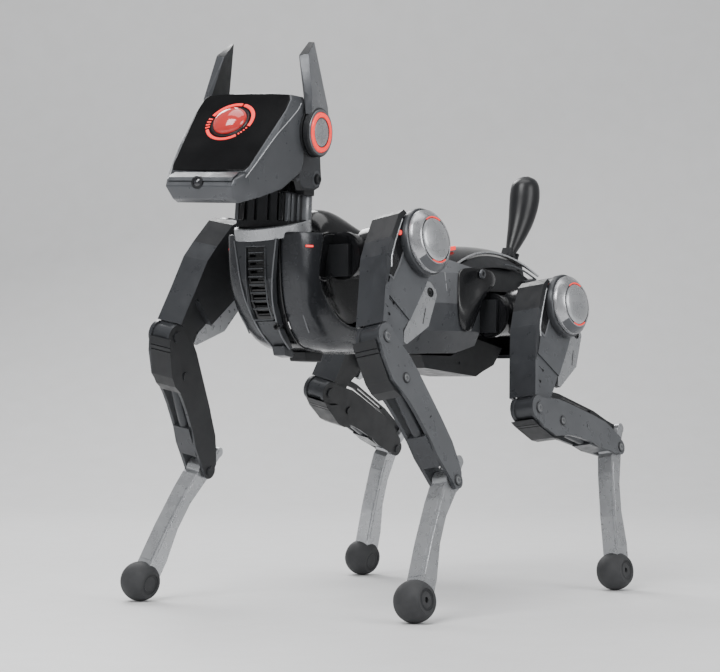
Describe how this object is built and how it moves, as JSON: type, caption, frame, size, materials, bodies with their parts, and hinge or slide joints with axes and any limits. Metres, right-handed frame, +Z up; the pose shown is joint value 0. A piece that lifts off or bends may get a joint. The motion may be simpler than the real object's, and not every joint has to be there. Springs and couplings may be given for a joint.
{
  "type": "quadruped robot dog",
  "caption": "Walking robot dog with a black face screen, single red eye, pointed ears, paddle tail and pushrod-driven folding legs on rubber ball feet",
  "frame": {"origin": "centre of the bounding box in X and Y, on the ground plane under the feet", "axes": "+Z up, -Y forward (the way the head looks), +X to the robot's left; the body stands level in a mid-step pose"},
  "size_m": [0.4175, 0.6672, 0.6007],
  "materials": {
    "chassis": "dark satin structural plastic",
    "circuit_board": "green laminate",
    "shell_grey": "gunmetal satin paint on plastic",
    "gloss_black": "glossy near-black plastic",
    "satin_silver": "bead-blasted silver",
    "fin_silver": "satin light silver",
    "screen_black": "black glass-like gloss",
    "red_lens": "glowing red dome",
    "lens_black": "camera lens black",
    "red_glow": "glowing red ring",
    "foot_rubber": "dark soft rubber"
  },
  "bodies": {
    "torso": {"torso_frame": "chassis", "main_board": "circuit_board", "chest_shell": "shell_grey", "front_panel": "shell_grey", "vent_grille": "gloss_black", "back_cover": "gloss_black", "waist_shell": "shell_grey", "saddle_cover": "gloss_black", "hip_scoops": "gloss_black", "rear_housing": "shell_grey", "battery_pack": "gloss_black", "neck_ring": "satin_silver", "tail_mount": "chassis"},
    "neck": {"neck_column": "gloss_black"},
    "head": {"head_shell": "shell_grey", "face_screen": "screen_black", "eye_lens": "red_lens", "chin_camera": "lens_black", "head_bracket": "chassis"},
    "left_ear": {"ear_left": "shell_grey", "ear_ring_left": "red_glow"},
    "right_ear": {"ear_right": "shell_grey", "ear_ring_right": "red_glow"},
    "tail_body": {"tail": "gloss_black"},
    "hip_fl": {"hip_actuator_fl": "chassis"},
    "thigh_fl": {"thigh_casing_fl": "shell_grey", "hip_disc_fl": "satin_silver", "thigh_fin_fl": "fin_silver"},
    "shank_fl": {"shank_frame_fl": "shell_grey", "shank_cover_fl": "gloss_black"},
    "rod_fl": {"pushrod_fl": "chassis"},
    "pastern_fl": {"pastern_fl": "fin_silver", "foot_fl": "foot_rubber"},
    "hip_fr": {"hip_actuator_fr": "chassis"},
    "thigh_fr": {"thigh_casing_fr": "shell_grey", "hip_disc_fr": "satin_silver", "thigh_fin_fr": "fin_silver"},
    "shank_fr": {"shank_frame_fr": "shell_grey", "shank_cover_fr": "gloss_black"},
    "rod_fr": {"pushrod_fr": "chassis"},
    "pastern_fr": {"pastern_fr": "fin_silver", "foot_fr": "foot_rubber"},
    "hip_rl": {"hip_actuator_rl": "chassis"},
    "thigh_rl": {"thigh_casing_rl": "shell_grey", "hip_disc_rl": "satin_silver", "thigh_fin_rl": "fin_silver"},
    "shank_rl": {"shank_frame_rl": "shell_grey", "shank_cover_rl": "gloss_black"},
    "rod_rl": {"pushrod_rl": "chassis"},
    "pastern_rl": {"pastern_rl": "fin_silver", "foot_rl": "foot_rubber"},
    "hip_rr": {"hip_actuator_rr": "chassis"},
    "thigh_rr": {"thigh_casing_rr": "shell_grey", "hip_disc_rr": "satin_silver", "thigh_fin_rr": "fin_silver"},
    "shank_rr": {"shank_frame_rr": "shell_grey", "shank_cover_rr": "gloss_black"},
    "rod_rr": {"pushrod_rr": "chassis"},
    "pastern_rr": {"pastern_rr": "fin_silver", "foot_rr": "foot_rubber"}
  },
  "joints": [
    {"name": "neck_turn", "type": "hinge", "parent": "torso", "child": "neck", "pos_m": [0.00783, -0.1822, 0.403], "axis": [0, -0.2028, 0.9792], "range_deg": [-40, 30]},
    {"name": "head_nod", "type": "hinge", "parent": "neck", "child": "head", "pos_m": [0.00986, -0.17846, 0.45693], "axis": [0.9886, 0.1428, -0.0471], "range_deg": [-18, 15]},
    {"name": "left_ear_swing", "type": "hinge", "parent": "head", "child": "left_ear", "pos_m": [0.07737, -0.1974, 0.50002], "axis": [0.9886, 0.1428, -0.0471], "range_deg": [-22, 22]},
    {"name": "right_ear_swing", "type": "hinge", "parent": "head", "child": "right_ear", "pos_m": [-0.04522, -0.21511, 0.50587], "axis": [0.9886, 0.1428, -0.0471], "range_deg": [-22, 22]},
    {"name": "tail_wag", "type": "hinge", "parent": "torso", "child": "tail_body", "pos_m": [0.00783, 0.27582, 0.39515], "axis": [0, 0.891, -0.454], "range_deg": [-30, 30]},
    {"name": "fl_hip_roll", "type": "hinge", "parent": "torso", "child": "hip_fl", "pos_m": [0.06783, -0.1006, 0.3755], "axis": [0, -1, 0], "range_deg": [-14, 18]},
    {"name": "fl_hip_pitch", "type": "hinge", "parent": "hip_fl", "child": "thigh_fl", "pos_m": [0.12896, -0.1006, 0.38584], "axis": [0.986, 0, 0.1668], "range_deg": [-30, 22]},
    {"name": "fl_knee", "type": "hinge", "parent": "thigh_fl", "child": "shank_fl", "pos_m": [0.1458, -0.18715, 0.28627], "axis": [0.986, 0, 0.1668], "range_deg": [-20, 32]},
    {"name": "fl_hock", "type": "hinge", "parent": "shank_fl", "child": "pastern_fl", "pos_m": [0.17086, -0.09739, 0.13815], "axis": [0.986, 0, 0.1668], "range_deg": [-33, 21]},
    {"name": "fl_rod", "type": "hinge", "parent": "thigh_fl", "child": "rod_fl", "pos_m": [0.14238, -0.16958, 0.30648], "axis": [0.986, 0, 0.1668], "range_deg": [-21, 33]},
    {"name": "fr_hip_roll", "type": "hinge", "parent": "torso", "child": "hip_fr", "pos_m": [-0.05217, -0.1006, 0.3755], "axis": [0, 1, 0], "range_deg": [-14, 18]},
    {"name": "fr_hip_pitch", "type": "hinge", "parent": "hip_fr", "child": "thigh_fr", "pos_m": [-0.11301, -0.1006, 0.38744], "axis": [0.9813, 0, -0.1925], "range_deg": [-27, 25]},
    {"name": "fr_knee", "type": "hinge", "parent": "thigh_fr", "child": "shank_fr", "pos_m": [-0.13146, -0.19282, 0.2934], "axis": [0.9813, 0, -0.1925], "range_deg": [-20, 32]},
    {"name": "fr_hock", "type": "hinge", "parent": "shank_fr", "child": "pastern_fr", "pos_m": [-0.16058, -0.10479, 0.14498], "axis": [0.9813, 0, -0.1925], "range_deg": [-33, 21]},
    {"name": "fr_rod", "type": "hinge", "parent": "thigh_fr", "child": "rod_fr", "pos_m": [-0.12771, -0.1741, 0.31249], "axis": [0.9813, 0, -0.1925], "range_deg": [-21, 33]},
    {"name": "rl_hip_roll", "type": "hinge", "parent": "torso", "child": "hip_rl", "pos_m": [0.06783, 0.1808, 0.319], "axis": [0, -1, 0], "range_deg": [-14, 18]},
    {"name": "rl_hip_pitch", "type": "hinge", "parent": "hip_rl", "child": "thigh_rl", "pos_m": [0.1293, 0.1808, 0.32709], "axis": [0.9914, 0, 0.1305], "range_deg": [-20, 28]},
    {"name": "rl_knee", "type": "hinge", "parent": "thigh_rl", "child": "shank_rl", "pos_m": [0.14449, 0.10292, 0.21175], "axis": [0.9914, 0, 0.1305], "range_deg": [-35, 14]},
    {"name": "rl_hock", "type": "hinge", "parent": "shank_rl", "child": "pastern_rl", "pos_m": [0.15077, 0.27117, 0.16404], "axis": [0.9914, 0, 0.1305], "range_deg": [-15, 36]},
    {"name": "rl_rod", "type": "hinge", "parent": "thigh_rl", "child": "rod_rl", "pos_m": [0.14156, 0.11794, 0.234], "axis": [0.9914, 0, 0.1305], "range_deg": [-36, 15]},
    {"name": "rr_hip_roll", "type": "hinge", "parent": "torso", "child": "hip_rr", "pos_m": [-0.05217, 0.1808, 0.319], "axis": [0, 1, 0], "range_deg": [-14, 18]},
    {"name": "rr_hip_pitch", "type": "hinge", "parent": "hip_rr", "child": "thigh_rr", "pos_m": [-0.11235, 0.1808, 0.33389], "axis": [0.9707, 0, -0.2402], "range_deg": [-16, 32]},
    {"name": "rr_knee", "type": "hinge", "parent": "thigh_rr", "child": "shank_rr", "pos_m": [-0.13743, 0.08748, 0.23258], "axis": [0.9707, 0, -0.2402], "range_deg": [-35, 14]},
    {"name": "rr_hock", "type": "hinge", "parent": "shank_rr", "child": "pastern_rr", "pos_m": [-0.15482, 0.2468, 0.1623], "axis": [0.9707, 0, -0.2402], "range_deg": [-15, 36]},
    {"name": "rr_rod", "type": "hinge", "parent": "thigh_rr", "child": "rod_rr", "pos_m": [-0.13259, 0.10548, 0.25212], "axis": [0.9707, 0, -0.2402], "range_deg": [-36, 15]}
  ],
  "couplings": [
    {"joint": "fl_hock", "follows": "fl_knee", "ratio": -1},
    {"joint": "fl_rod", "follows": "fl_knee", "ratio": 1},
    {"joint": "fr_hock", "follows": "fr_knee", "ratio": -1},
    {"joint": "fr_rod", "follows": "fr_knee", "ratio": 1},
    {"joint": "rl_hock", "follows": "rl_knee", "ratio": -1},
    {"joint": "rl_rod", "follows": "rl_knee", "ratio": 1},
    {"joint": "rr_hock", "follows": "rr_knee", "ratio": -1},
    {"joint": "rr_rod", "follows": "rr_knee", "ratio": 1}
  ]
}
